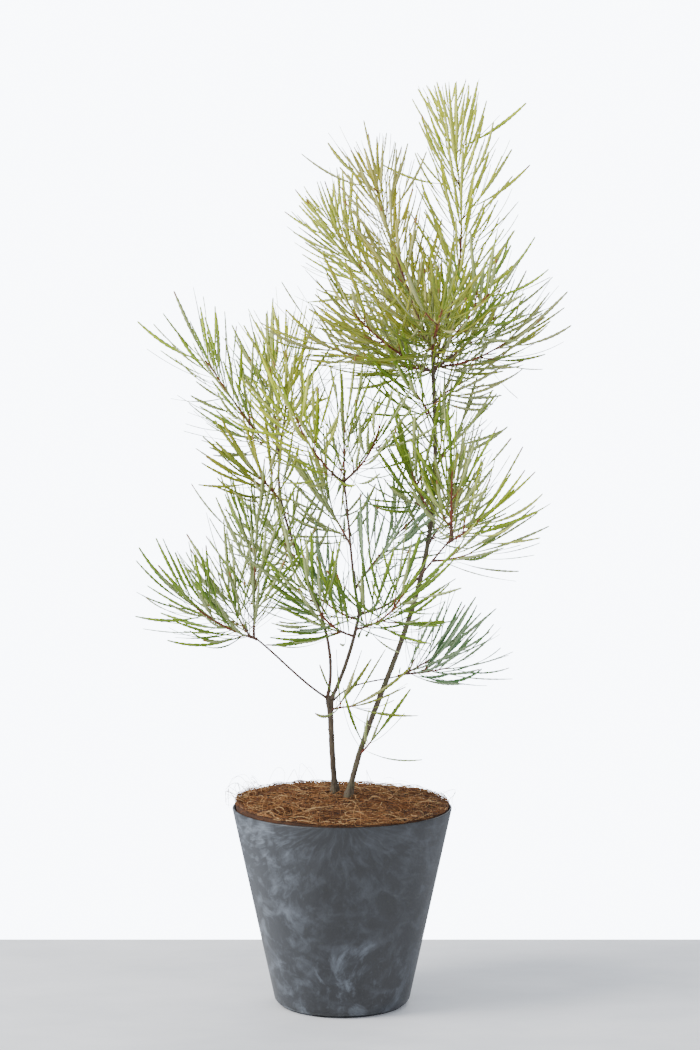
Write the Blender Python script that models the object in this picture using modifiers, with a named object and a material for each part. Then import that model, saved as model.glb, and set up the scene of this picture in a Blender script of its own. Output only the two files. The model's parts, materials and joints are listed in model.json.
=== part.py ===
# A potted hairpin banksia: two thin stems out of a tapered grey pot topped with coir, with boughs,
# and shoots of long narrow leaves. Metres, +Z up, the front of the plant towards -Y.
# The origin is the middle of the pot's underside.

import math

import bmesh
import bpy
import numpy as np

# Pot
POT_HEIGHT = 0.218
RIM_RADIUS = 0.120
BASE_RADIUS = 0.0735
WALL = 0.003
FLOOR = 0.007
FOOT_RADIUS = 0.0685
FOOT_HEIGHT = 0.002
HEEL_ROUND = 0.0045
POT_SIDES = 48

# Filling
SOIL_TOP = 0.196
COIR_EDGE = 0.2205
COIR_DOME = 0.0075
FILL_SIDES = 40

# Fits
GAP = 0.0003

# Limbs: parent, place along it, length, radius at the root, radius at the tip, and the headings
# (right, back, up) that the limb blends between on its way from root to tip.
LIMBS = {
    "stem_left": (None, 0.0, 0.109, 0.0034, 0.0032, [(-0.12, -0.07, 0.99), (0.0, -0.07, 1.0), (-0.07, -0.07, 0.99)]),
    "stem_right": (None, 0.0, 0.4955, 0.0033, 0.0021, [(0.16, 0.03, 0.99), (0.7, 0.03, 0.72), (-0.14, 0.03, 0.99), (-0.03, 0.03, 1.0)]),
    "bough_low_left": ("stem_left", 0.985, 0.113, 0.00135, 0.0011, [(-0.78, -0.35, 0.52), (-0.57, -0.34, 0.75), (-0.7, -0.35, 0.62)]),
    "bough_left": ("stem_left", 1.0, 0.272, 0.00185, 0.0013, [(0.23, 0.14, 0.96), (-0.53, 0.14, 0.84), (-0.53, 0.14, 0.83), (0.1, 0.14, 0.99)]),
    "bough_middle": ("stem_left", 1.0, 0.109, 0.0022, 0.0019, [(0.39, -0.31, 0.86), (0.27, -0.31, 0.91), (0.16, -0.32, 0.93)]),
    "bough_upper": ("bough_middle", 1.0, 0.1355, 0.0017, 0.0012, [(-0.19, 0.11, 0.98), (-0.03, 0.11, 0.99), (-0.12, 0.11, 0.99)]),
    "bough_right": ("bough_middle", 0.985, 0.131, 0.0014, 0.0011, [(0.96, -0.26, 0.14), (0.46, -0.22, 0.86), (0.61, -0.28, 0.74)]),
    "bough_low_right": ("stem_left", 0.92, 0.108, 0.00105, 0.00085, [(0.43, 0.65, 0.62), (0.83, 0.54, -0.13), (0.74, 0.66, 0.09)]),
}
STEM_FOOT = {"stem_left": (-0.0070, 0.0120), "stem_right": (0.0070, -0.0100)}
# Where a limb leaves a fork beside its parent's middle, as (right, back).
FORK_SHIFT = {"bough_left": (-0.0022, 0.0013), "bough_middle": (0.0026, -0.0012), "bough_upper": (-0.0003, 0.0002)}
FLARE = 0.75
FLARE_REACH = 0.012
COLLAR = 0.42
LIMB_STEPS = 9

# Shoots of each mass: name, parent, place along it, length, and the headings it blends between.
# The first shoot of a mass is its stem, and the others spring from it.
SHOOTS = {
    "foliage_low_left": [
        ("low_left_out", "bough_low_left", 1.0, 0.088, [(-0.89, -0.33, 0.31), (-0.68, -0.33, 0.65)]),
        ("low_left_up", "low_left_out", 0.04, 0.120, [(0.0, 0.21, 0.98), (0.04, 0.21, 0.98)]),
        ("low_left_back", "low_left_out", 0.08, 0.070, [(-0.42, 0.80, 0.40), (-0.30, 0.62, 0.72)]),
    ],
    "foliage_left": [
        ("left_up", "bough_left", 1.0, 0.106, [(-0.10, 0.40, 0.91), (-0.16, 0.66, 0.75)]),
        ("left_out", "left_up", 0.04, 0.133, [(-0.76, -0.19, 0.62), (-0.41, -0.18, 0.89), (-0.58, -0.2, 0.79)]),
        ("left_in", "left_up", 0.06, 0.120, [(0.22, 0.05, 0.97), (-0.13, 0.21, 0.97)]),
    ],
    "foliage_left_front": [("left_front", "bough_left", 0.81, 0.072, [(-0.22, -0.81, 0.55), (-0.41, -0.83, 0.39)])],
    "foliage_left_back": [("left_back", "bough_left", 0.52, 0.088, [(-0.35, 0.82, 0.44), (-0.47, 0.75, 0.46)])],
    "foliage_middle": [
        ("middle_up", "bough_upper", 1.0, 0.070, [(-0.05, 0.20, 0.98), (0.05, 0.08, 1.0)]),
        ("middle_left", "middle_up", 0.06, 0.103, [(-0.69, -0.47, 0.56), (-0.28, -0.47, 0.84)]),
        ("middle_right", "middle_up", 0.10, 0.086, [(0.67, -0.51, 0.54), (0.17, -0.49, 0.86)]),
    ],
    "foliage_right": [
        ("right_out", "bough_right", 1.0, 0.047, [(0.80, -0.40, 0.45), (0.60, -0.42, 0.68)]),
        ("right_up", "right_out", 0.09, 0.082, [(0.0, -0.36, 0.93), (0.01, -0.36, 0.93)]),
        ("right_short", "right_out", 0.16, 0.048, [(-0.10, 0.45, 0.89), (0.16, 0.33, 0.93)]),
    ],
    "foliage_right_low": [("right_low", "bough_right", 0.80, 0.048, [(0.85, 0.50, -0.05), (0.90, 0.30, 0.32)])],
    "foliage_centre_front": [("centre_front", "bough_middle", 0.81, 0.115, [(0.58, -0.79, 0.2), (0.25, -0.74, 0.62)])],
    "foliage_centre_left": [("centre_left", "bough_middle", 0.73, 0.103, [(-0.74, -0.62, 0.26), (-0.46, -0.56, 0.68), (-0.16, -0.62, 0.76)])],
    "foliage_centre_back": [("centre_back", "bough_middle", 0.92, 0.078, [(-0.66, 0.75, 0.05), (-0.49, 0.70, 0.50)])],
    "foliage_centre_right": [("centre_right", "bough_upper", 0.19, 0.112, [(0.49, 0.56, 0.67), (0.62, 0.55, 0.56)])],
    "foliage_centre_rear": [("centre_rear", "bough_upper", 0.54, 0.100, [(-0.28, 0.87, 0.4), (-0.3, 0.80, 0.52)])],
    "foliage_low_right": [
        ("low_right", "bough_low_right", 1.0, 0.064, [(0.80, 0.56, 0.22), (0.7, 0.5, 0.52)]),
        ("low_right_out", "low_right", 0.12, 0.052, [(0.95, 0.20, 0.0), (0.92, 0.10, 0.22)]),
    ],
    "foliage_foot_left": [("foot_left", "stem_left", 0.88, 0.034, [(0.76, -0.6, 0.26), (0.78, -0.6, 0.17)])],
    "foliage_foot_right": [("foot_right", "stem_right", 0.10, 0.026, [(0.55, -0.6, 0.58), (0.39, -0.6, 0.7)])],
    "foliage_crown": [
        ("crown_leader", "stem_right", 1.0, 0.270, [(0.46, 0.05, 0.88), (-0.10, 0.05, 0.99), (-0.18, 0.05, 0.98)]),
        ("crown_second", "crown_leader", 0.015, 0.207, [(-0.43, -0.12, 0.89), (-0.3, -0.12, 0.95), (-0.22, -0.12, 0.97)]),
        ("crown_left_up", "crown_leader", 0.022, 0.190, [(-0.59, 0.26, 0.78), (-0.81, 0.2, 0.56), (-0.37, 0.2, 0.91)]),
    ],
    "foliage_crown_left": [
        ("crown_left", "stem_right", 0.965, 0.140, [(-0.71, -0.63, 0.33), (-0.49, -0.65, 0.57)]),
        ("crown_left_low", "crown_left", 0.05, 0.114, [(-0.99, 0.10, 0.10), (-0.93, 0.06, 0.36)]),
    ],
    "foliage_crown_right": [
        ("crown_right", "stem_right", 0.975, 0.095, [(0.95, -0.3, 0.06), (0.74, -0.31, 0.6)]),
        ("crown_right_back", "crown_right", 0.06, 0.112, [(0.62, 0.66, 0.42), (0.57, 0.61, 0.55)]),
    ],
    "foliage_crown_front": [
        ("crown_front", "stem_right", 0.985, 0.152, [(-0.05, -0.92, 0.37), (0.12, -0.91, 0.39)]),
        ("crown_front_right", "crown_front", 0.05, 0.122, [(0.50, -0.60, 0.62), (0.42, -0.72, 0.56)]),
    ],
    "foliage_crown_back": [
        ("crown_back", "stem_right", 0.955, 0.146, [(0.2, 0.9, 0.38), (-0.15, 0.84, 0.52)]),
        ("crown_back_left", "crown_back", 0.05, 0.124, [(-0.45, 0.86, 0.25), (-0.4, 0.88, 0.20)]),
    ],
    "foliage_spur_front": [("spur_front", "stem_right", 0.65, 0.079, [(-0.35, -0.69, 0.63), (-0.22, -0.7, 0.68)])],
    "foliage_spur_right": [("spur_right", "stem_right", 0.75, 0.067, [(0.31, 0.73, 0.61), (0.5, 0.71, 0.49)])],
    "foliage_spur_left": [("spur_left", "stem_right", 0.85, 0.067, [(-0.29, -0.72, 0.63), (-0.42, -0.73, 0.53)])],
    "foliage_spur_high": [("spur_high", "stem_right", 0.90, 0.062, [(0.46, 0.81, 0.35), (0.55, 0.8, 0.24)])],
    "foliage_spur_back": [("spur_back", "stem_right", 0.58, 0.080, [(0.3, 0.83, 0.47), (0.43, 0.81, 0.4)])],
}
SHOOT_ROOT = 0.0014
SHOOT_TIP = 0.0009
SHOOT_STEPS = 5
# Shoots that are still growing end in short leaves. The others end in a fan of full ones.
GROWING = {"crown_leader", "crown_second", "crown_left_up", "left_in"}

# Leaves
LEAF_LENGTH = 0.080
LEAF_WIDTH = 0.0044
LEAF_THICKNESS = 0.0009
LEAF_FOOT = 0.0009
LEAF_STEP = 0.0080
FIRST_LEAF = 0.012
TURN = math.radians(137.5)
SPREAD_LOW = math.radians(66)
SPREAD_TIP = math.radians(35)
TIP_SHRINK = 0.68
FAN_LEAVES = 3
FAN_REACH = 0.009
FAN_SPREAD = (0.22, 0.75)
LOWEST = -0.32
RISE = 0.30
TRIES = 4
SEED = 11

# Spacing of the points that stand for a leaf or a limb when its clearance is tested, and the
# clearance kept to other nodes, which makes up for that spacing.
SAMPLE = 0.003
CLEAR = 0.0009
OWN_CLEAR = 0.0001

UP = np.array([0.0, 0.0, 1.0])


def unit(vector):
    return vector / np.linalg.norm(vector)


def grow(start, headings, length, steps):
    """Points of a path that sets out along the first heading and ends along the last."""
    headings = np.array([unit(np.array(h, float)) for h in headings])
    last = len(headings) - 1
    points = [np.array(start, float)]
    for step in range(steps):
        t = (step + 0.5) / steps
        weights = [math.comb(last, k) * t**k * (1 - t) ** (last - k) for k in range(last + 1)]
        points.append(points[-1] + unit(np.array(weights) @ headings) * length / steps)
    return np.array(points)


def along(points, place):
    """The point and the heading at a share of a path's length."""
    lengths = np.linalg.norm(np.diff(points, axis=0), axis=1)
    target = place * lengths.sum()
    for a, b, length in zip(points[:-1], points[1:], lengths):
        if target <= length + 1e-9:
            return a + (b - a) * target / length, unit(b - a)
        target -= length
    return points[-1], unit(points[-1] - points[-2])


def samples(points, spacing=SAMPLE):
    """Evenly spaced points on a path, with each one's share of the length."""
    length = np.linalg.norm(np.diff(points, axis=0), axis=1).sum()
    shares = np.linspace(0, 1, max(3, int(length / spacing) + 2))
    return np.array([along(points, share)[0] for share in shares]), shares


def wood_gap(spots, path, radii):
    """How far the spots lie outside a tapering limb."""
    best = np.full(len(spots), 1e9)
    for a, b, ra, rb in zip(path[:-1], path[1:], radii[:-1], radii[1:]):
        axis = b - a
        length = np.linalg.norm(axis)
        axis = axis / length
        run = (spots - a) @ axis
        beyond = np.maximum(np.maximum(-run, run - length), 0)
        side = np.linalg.norm(spots - a - np.outer(run, axis), axis=1)
        radius = ra + (rb - ra) * np.clip(run / length, 0, 1)
        outside = side - radius
        gap = np.where(beyond > 0, np.hypot(beyond, np.maximum(outside, 0)), outside)
        best = np.minimum(best, gap)
    return best


def material(name, colour, roughness, metallic=0.0):
    made = bpy.data.materials.new(name)
    made.use_nodes = True
    shader = made.node_tree.nodes["Principled BSDF"]
    shader.inputs["Base Color"].default_value = (*colour, 1.0)
    shader.inputs["Roughness"].default_value = roughness
    shader.inputs["Metallic"].default_value = metallic
    return made


def add_object(name, data, collection, look=None):
    made = bpy.data.objects.new(name, data)
    collection.objects.link(made)
    if look:
        data.materials.append(look)
    return made


def turned(name, profile, sides, collection, look):
    """A solid turned about Z from a profile of (radius, height) pairs."""
    mesh = bpy.data.meshes.new(name)
    corners = [(radius, 0.0, height) for radius, height in profile]
    edges = [(i, i + 1) for i in range(len(corners) - 1)]
    mesh.from_pydata(corners, edges, [])
    made = add_object(name, mesh, collection, look)
    screw = made.modifiers.new("Turn", "SCREW")
    screw.steps = sides
    screw.render_steps = sides
    screw.use_merge_vertices = True
    screw.merge_threshold = 0.0001
    return made


def limb(name, path, radii, collection, look):
    """A tapering limb: a curve with a round bevel and filled caps, made a mesh and welded."""
    curve = bpy.data.curves.new(name, "CURVE")
    curve.dimensions = "3D"
    curve.bevel_depth = 1.0
    curve.bevel_resolution = 2
    curve.use_fill_caps = True
    spline = curve.splines.new("POLY")
    spline.points.add(len(path) - 1)
    for point, spot, radius in zip(spline.points, path, radii):
        point.co = (*spot, 1.0)
        point.radius = radius
    guide = add_object(name + "_course", curve, collection)
    bpy.context.view_layer.update()
    mesh = bpy.data.meshes.new_from_object(guide.evaluated_get(bpy.context.evaluated_depsgraph_get()))
    bpy.data.objects.remove(guide)
    mesh.name = name
    work = bmesh.new()
    work.from_mesh(mesh)
    bmesh.ops.remove_doubles(work, verts=work.verts, dist=1e-6)
    bmesh.ops.recalc_face_normals(work, faces=work.faces)
    work.to_mesh(mesh)
    work.free()
    mesh.materials.clear()
    return add_object(name, mesh, collection, look)


def loft(name, sections, tip, collection):
    """A closed blade or twig: three-cornered sections joined in order, drawn in to a point."""
    work = bmesh.new()
    rings = [[work.verts.new(corner) for corner in section] for section in sections]
    work.faces.new(rings[0])
    for lower, upper in zip(rings[:-1], rings[1:]):
        for k in range(3):
            n = (k + 1) % 3
            work.faces.new([lower[k], lower[n], upper[n], upper[k]])
    point = work.verts.new(tip)
    for k in range(3):
        work.faces.new([rings[-1][k], rings[-1][(k + 1) % 3], point])
    bmesh.ops.triangulate(work, faces=work.faces)
    bmesh.ops.recalc_face_normals(work, faces=work.faces)
    mesh = bpy.data.meshes.new(name)
    work.to_mesh(mesh)
    work.free()
    return add_object(name, mesh, collection)


def frames(points):
    """Two directions square to a path at each of its points, without needless twist."""
    heading = np.gradient(points, axis=0)
    heading = np.array([unit(h) for h in heading])
    side = unit(np.cross(heading[0], UP if abs(heading[0][2]) < 0.95 else np.array([1.0, 0, 0])))
    sides = []
    for h in heading:
        side = unit(side - h * (side @ h))
        sides.append(side)
    sides = np.array(sides)
    return sides, np.cross(heading, sides)


def twig(name, path, collection):
    """A three-sided twig that thins towards its tip."""
    sides, others = frames(path)
    shares = np.linspace(0, 1, len(path))
    sections = []
    for spot, side, other, share in zip(path, sides, others, shares):
        radius = SHOOT_ROOT + (SHOOT_TIP - SHOOT_ROOT) * share
        turns = [2 * math.pi * k / 3 for k in range(3)]
        sections.append([spot + radius * (math.cos(a) * side + math.sin(a) * other) for a in turns])
    return loft(name, sections, path[-1] + unit(path[-1] - path[-2]) * SHOOT_TIP, collection)


def blade(name, path, across, width, collection):
    """A leaf: narrow foot, flat upper side, a keel below, and a long point."""
    heading = np.array([unit(h) for h in np.gradient(path, axis=0)])
    widths = [LEAF_FOOT, width]
    depths = [LEAF_FOOT * 0.6, LEAF_THICKNESS]
    sections = []
    for spot, h, wide, depth in zip(path[:-1], heading, widths, depths):
        flat = unit(across - h * (across @ h))
        below = np.cross(flat, h)
        sections.append([spot + flat * wide / 2 + below * depth / 3,
                         spot - flat * wide / 2 + below * depth / 3,
                         spot - below * depth * 2 / 3])
    return loft(name, sections, path[-1], collection)


def fused(name, pieces, collection, look):
    """Joins a mass into one closed body: one union on the collection, then only the body kept."""
    first, *others = pieces
    joined = bpy.data.collections.new(name + "_pieces")
    bpy.context.scene.collection.children.link(joined)
    for other in others:
        collection.objects.unlink(other)
        joined.objects.link(other)
    union = first.modifiers.new("Fuse", "BOOLEAN")
    union.operation = "UNION"
    union.operand_type = "COLLECTION"
    union.collection = joined
    union.solver = "MANIFOLD"
    bpy.context.view_layer.update()
    mesh = bpy.data.meshes.new_from_object(first.evaluated_get(bpy.context.evaluated_depsgraph_get()))
    for piece in pieces:
        bpy.data.objects.remove(piece)
    bpy.data.collections.remove(joined)
    mesh.name = name
    work = bmesh.new()
    work.from_mesh(mesh)
    bmesh.ops.triangulate(work, faces=work.faces)
    keep_body(work)
    work.to_mesh(mesh)
    work.free()
    mesh.materials.clear()
    return add_object(name, mesh, collection, look)


def keep_body(work):
    """Drops every shell but the largest: scraps that stayed loose and hollows that were sealed."""
    work.verts.ensure_lookup_table()
    seen = set()
    shells = []
    for seed in work.verts:
        if seed in seen:
            continue
        shell = [seed]
        seen.add(seed)
        for vert in shell:
            for edge in vert.link_edges:
                other = edge.other_vert(vert)
                if other not in seen:
                    seen.add(other)
                    shell.append(other)
        shells.append(shell)
    shells.sort(key=len)
    for shell in shells[:-1]:
        bmesh.ops.delete(work, geom=shell, context="VERTS")


def limb_course(name, grown):
    """Path and radii of a limb, from its place on its parent."""
    parent, place, length, root, tip, headings = LIMBS[name]
    if parent is None:
        x, y = STEM_FOOT[name]
        start = np.array([x, y, COIR_EDGE + COIR_DOME + GAP])
        path = grow(start + UP * 0.001, headings, length - 0.001, LIMB_STEPS * 2)
        path = np.vstack([start, path])
    else:
        start, _ = along(grown[parent][0], place)
        shift = FORK_SHIFT.get(name, (0.0, 0.0))
        path = grow(start + np.array([*shift, 0.0]), headings, length, LIMB_STEPS * 4)
        path = clear_root(path, root, grown[parent])
        path = path[np.linspace(0, len(path) - 1, LIMB_STEPS + 1).astype(int)]
    shares = samples_along(path)
    radii = root + (tip - root) * shares
    if parent is None:
        radii = radii * (1 + FLARE * np.exp(-(shares * length / FLARE_REACH) ** 1.5))
    if name == "stem_left":
        radii = radii * (1 + COLLAR * np.exp(-((shares - 0.97) / 0.09) ** 2))
    return path, radii


def samples_along(path):
    """Each point's share of its path's length."""
    steps = np.linalg.norm(np.diff(path, axis=0), axis=1)
    return np.r_[0, np.cumsum(steps)] / steps.sum()


def clear_root(path, radius, parent):
    """Trims the root of a path so that a round cap of this radius clears the parent limb."""
    fine = np.array([along(path, share)[0] for share in np.linspace(0, 1, 401)])
    sides, others = frames(fine)
    turns = np.linspace(0, 2 * math.pi, 16, endpoint=False)
    for k in range(400):
        ring = [fine[k] + radius * (math.cos(a) * sides[k] + math.sin(a) * others[k]) for a in turns]
        if wood_gap(np.array(ring + [fine[k]]), *parent).min() >= GAP * 1.5:
            break
    rest = path[samples_along(path) > k / 400 + 0.02]
    return np.vstack([fine[k], rest])


def leaf_course(rng, path, share, turn, growing, fan):
    """Path of a leaf: it leaves its shoot at a wide angle low down and a narrow one at the tip, and bends up."""
    foot, heading = along(path, share)
    side = unit(np.cross(heading, UP) if abs(heading[2]) < 0.97 else np.cross(heading, [0.0, 1.0, 0.0]))
    other = np.cross(heading, side)
    out = math.cos(turn) * side + math.sin(turn) * other
    spread = SPREAD_LOW + (SPREAD_TIP - SPREAD_LOW) * share**1.6 + rng.normal(0, 0.10)
    if fan:
        spread = rng.uniform(*FAN_SPREAD)
    first = math.cos(spread) * heading + math.sin(spread) * out
    first[2] = max(first[2], LOWEST)
    first = unit(first)
    last = unit(first + heading * 0.1 + UP * RISE * (0.5 + rng.random()))
    young = max(0.0, (share - 0.65) / 0.35) ** 2.2 if growing else 0.0
    length = LEAF_LENGTH * (1 - TIP_SHRINK * young)
    course = grow(foot, [first, last], length * (0.85 + 0.3 * rng.random()), 2)
    across = unit(np.cross(first, heading) + 0.35 * rng.normal(0, 1) * unit(np.cross(first, np.cross(first, heading))))
    return course, across, LEAF_WIDTH * (1 - 0.6 * TIP_SHRINK * young)


def main():
    for old in list(bpy.data.objects):
        bpy.data.objects.remove(old)
    plant = bpy.data.collections.new("potted_hairpin_banksia")
    bpy.context.scene.collection.children.link(plant)

    # Pot: an outer side that leans out, a rounded lip, a thin wall, and a foot set in under it.
    slope = (RIM_RADIUS - BASE_RADIUS) / POT_HEIGHT
    inner_base = BASE_RADIUS + slope * FLOOR - WALL
    inner_rim = RIM_RADIUS - WALL
    lip = WALL / 2
    profile = [(0.0, FLOOR), (inner_base - 0.004, FLOOR), (inner_base, FLOOR + 0.004), (inner_rim, POT_HEIGHT - lip)]
    profile += [(RIM_RADIUS - lip + lip * math.cos(a), POT_HEIGHT - lip + lip * math.sin(a))
                for a in np.radians([140, 90, 40, 0])]
    profile += [(BASE_RADIUS + slope * HEEL_ROUND, FOOT_HEIGHT + HEEL_ROUND),
                (BASE_RADIUS - HEEL_ROUND * 0.25, FOOT_HEIGHT + HEEL_ROUND * 0.3),
                (BASE_RADIUS - HEEL_ROUND, FOOT_HEIGHT), (FOOT_RADIUS, FOOT_HEIGHT), (FOOT_RADIUS, 0.0), (0.0, 0.0)]
    turned("pot", profile, POT_SIDES, plant, material("pot_grey", (0.125, 0.135, 0.15), 0.55))

    # Filling: the root ball and its soil, with a domed coir mat on top that reaches just over the rim's level.
    def inner(height):
        share = (height - FLOOR - 0.004) / (POT_HEIGHT - lip - FLOOR - 0.004)
        return inner_base + (inner_rim - inner_base) * share - GAP * 1.6
    soil = [(0.0, SOIL_TOP), (inner(SOIL_TOP), SOIL_TOP), (inner(FLOOR + 0.006), FLOOR + 0.006),
            (inner(FLOOR + 0.006) - 0.006, FLOOR + GAP), (0.0, FLOOR + GAP)]
    turned("soil", soil, FILL_SIDES, plant, material("soil_brown", (0.06, 0.04, 0.03), 0.95))
    edge = inner(POT_HEIGHT - lip - 0.002)
    coir = [(edge * r, COIR_EDGE + COIR_DOME * (1 - r * r)) for r in (0.0, 0.35, 0.65, 0.88)]
    coir += [(edge, COIR_EDGE - 0.002), (edge, POT_HEIGHT - lip - 0.002), (inner(SOIL_TOP + GAP), SOIL_TOP + GAP), (0.0, SOIL_TOP + GAP)]
    turned("coir", coir, FILL_SIDES, plant, material("coir_brown", (0.30, 0.16, 0.075), 0.9))

    # Limbs, each tapering from its foot or fork.
    bark = material("bark", (0.13, 0.095, 0.075), 0.85)
    grown = {}
    for name in LIMBS:
        grown[name] = limb_course(name, grown)
        limb(name, *grown[name], plant, bark)

    # Courses of all the shoots. A shoot springs from the axis of another of its own mass, or starts
    # a gap away from the limb it grows on.
    courses = {}
    for mass, shoots in SHOOTS.items():
        for name, parent, place, length, headings in shoots:
            if parent in grown:
                start, _ = along(grown[parent][0], place)
                path = clear_root(grow(start, headings, length, 40), SHOOT_ROOT, grown[parent])
            else:
                start, _ = along(courses[parent], place)
                path = grow(start, headings, length, 40)
            courses[name] = path[np.linspace(0, len(path) - 1, SHOOT_STEPS + 1).astype(int)]

    # What is already taken: points of every shoot, and then of every leaf as it is placed.
    spots, radii, owners = [], [], []
    for number, shoots in enumerate(SHOOTS.values()):
        for name, *_ in shoots:
            line, _ = samples(courses[name])
            spots.append(line)
            radii.append(np.full(len(line), SHOOT_ROOT))
            owners.append(np.full(len(line), number))
    spots, radii, owners = np.vstack(spots), np.concatenate(radii), np.concatenate(owners)
    is_leaf = np.zeros(len(spots), bool)

    rng = np.random.default_rng(SEED)
    leaf_look = material("leaf_green", (0.22, 0.31, 0.10), 0.5)
    work = bpy.data.collections.new("loose_leaves")
    bpy.context.scene.collection.children.link(work)
    placed = 0
    for number, (mass, shoots) in enumerate(SHOOTS.items()):
        pieces = []
        for name, *_ in shoots:
            path = courses[name]
            pieces.append(twig(name, path, work))
            turn = rng.random() * 6.28
            growing = name in GROWING
            reach = np.linalg.norm(np.diff(path, axis=0), axis=1).sum()
            places = list(np.arange(FIRST_LEAF, reach - FAN_REACH, LEAF_STEP))
            places += [reach - FAN_REACH * (1 - k / FAN_LEAVES) for k in range(1, FAN_LEAVES + 1)]
            for k, place in enumerate(places):
                turn += TURN
                fan = place > reach - FAN_REACH and not growing
                share = place / reach
                for attempt in range(TRIES):
                    course, across, width = leaf_course(rng, path, share, turn + attempt * 0.45, growing, fan)
                    line, shares = samples(course)
                    outer = shares > 0.12
                    apart = np.linalg.norm(line[:, None] - spots[None], axis=2) - radii[None] - LEAF_WIDTH / 2
                    other = owners != number
                    own = is_leaf & ~other
                    free = apart[:, other].min() > CLEAR
                    loose = not own.any() or apart[outer][:, own].min() > OWN_CLEAR - 0.4 * attempt * LEAF_WIDTH
                    wood = min(wood_gap(line, *way).min() for way in grown.values()) > LEAF_WIDTH / 2 + GAP * 2
                    if free and loose and wood:
                        break
                else:
                    continue
                pieces.append(blade(f"{name}_leaf_{k}", course, across, width, work))
                placed += 1
                spots = np.vstack([spots, line])
                radii = np.concatenate([radii, np.full(len(line), LEAF_WIDTH / 2)])
                owners = np.concatenate([owners, np.full(len(line), number)])
                is_leaf = np.concatenate([is_leaf, np.ones(len(line), bool)])
        fused(mass, pieces, work, leaf_look)
        made = bpy.data.objects[mass]
        work.objects.unlink(made)
        plant.objects.link(made)
        print(mass, "leaves", len(pieces) - len(shoots), "triangles", len(made.data.polygons))
    bpy.data.collections.remove(work)
    for shape in plant.objects:
        if shape.name in ("pot", "soil", "coir") or shape.name in LIMBS:
            shape.data.shade_smooth()
            shape.data.set_sharp_from_angle(angle=math.radians(35))
    print("leaves", placed)


main()
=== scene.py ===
# Looks of a potted hairpin banksia: bark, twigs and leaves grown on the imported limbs, the marbled
# pot and its coir. Metres, +Z up, the front of the plant towards -Y.
import json
import math
from collections import namedtuple

import bpy
import numpy as np
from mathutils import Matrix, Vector

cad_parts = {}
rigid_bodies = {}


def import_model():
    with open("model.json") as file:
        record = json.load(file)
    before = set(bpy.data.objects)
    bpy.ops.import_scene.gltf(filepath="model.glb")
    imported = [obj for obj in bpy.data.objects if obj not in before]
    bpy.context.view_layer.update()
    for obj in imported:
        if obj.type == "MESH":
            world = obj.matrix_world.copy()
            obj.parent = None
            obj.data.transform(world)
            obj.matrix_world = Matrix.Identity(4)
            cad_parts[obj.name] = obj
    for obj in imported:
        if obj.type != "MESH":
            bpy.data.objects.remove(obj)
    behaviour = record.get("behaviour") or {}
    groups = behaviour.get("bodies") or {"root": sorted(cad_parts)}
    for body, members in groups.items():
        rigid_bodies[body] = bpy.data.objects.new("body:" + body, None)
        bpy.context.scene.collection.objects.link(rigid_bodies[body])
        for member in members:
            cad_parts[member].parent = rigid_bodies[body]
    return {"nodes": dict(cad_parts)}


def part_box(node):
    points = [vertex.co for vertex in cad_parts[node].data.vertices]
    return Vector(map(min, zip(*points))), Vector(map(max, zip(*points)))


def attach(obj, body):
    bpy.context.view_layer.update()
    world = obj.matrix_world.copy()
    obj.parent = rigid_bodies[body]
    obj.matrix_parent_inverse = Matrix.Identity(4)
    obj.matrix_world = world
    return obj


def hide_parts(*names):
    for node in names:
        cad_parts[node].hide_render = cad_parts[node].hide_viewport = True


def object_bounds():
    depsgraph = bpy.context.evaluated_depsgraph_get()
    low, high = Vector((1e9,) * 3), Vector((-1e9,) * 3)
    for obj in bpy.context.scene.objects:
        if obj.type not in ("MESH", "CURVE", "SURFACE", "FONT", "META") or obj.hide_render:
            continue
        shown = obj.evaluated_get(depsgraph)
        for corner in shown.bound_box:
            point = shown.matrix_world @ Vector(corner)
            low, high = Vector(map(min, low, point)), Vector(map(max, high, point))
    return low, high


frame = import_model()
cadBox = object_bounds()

up = np.array([0.0, 0.0, 1.0])
fullTurn = 2 * math.pi


# Materials

def mathsOf(operation, swapped=False):
    # A method that adds a Math node, with the wire as its first value or, if swapped, its second.
    def method(self, other):
        first, second = (other, self) if swapped else (self, other)
        return self.look.add("ShaderNodeMath", {"operation": operation}, {0: first, 1: second})
    return method


class Wire:
    # A material's socket, with the arithmetic that the looks are written in.
    def __init__(self, look, socket):
        self.look = look
        self.socket = socket

    __add__ = mathsOf("ADD")
    __radd__ = mathsOf("ADD", True)
    __sub__ = mathsOf("SUBTRACT")
    __rsub__ = mathsOf("SUBTRACT", True)
    __mul__ = mathsOf("MULTIPLY")
    __rmul__ = mathsOf("MULTIPLY", True)
    __pow__ = mathsOf("POWER")
    atMost = mathsOf("MINIMUM")


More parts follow.
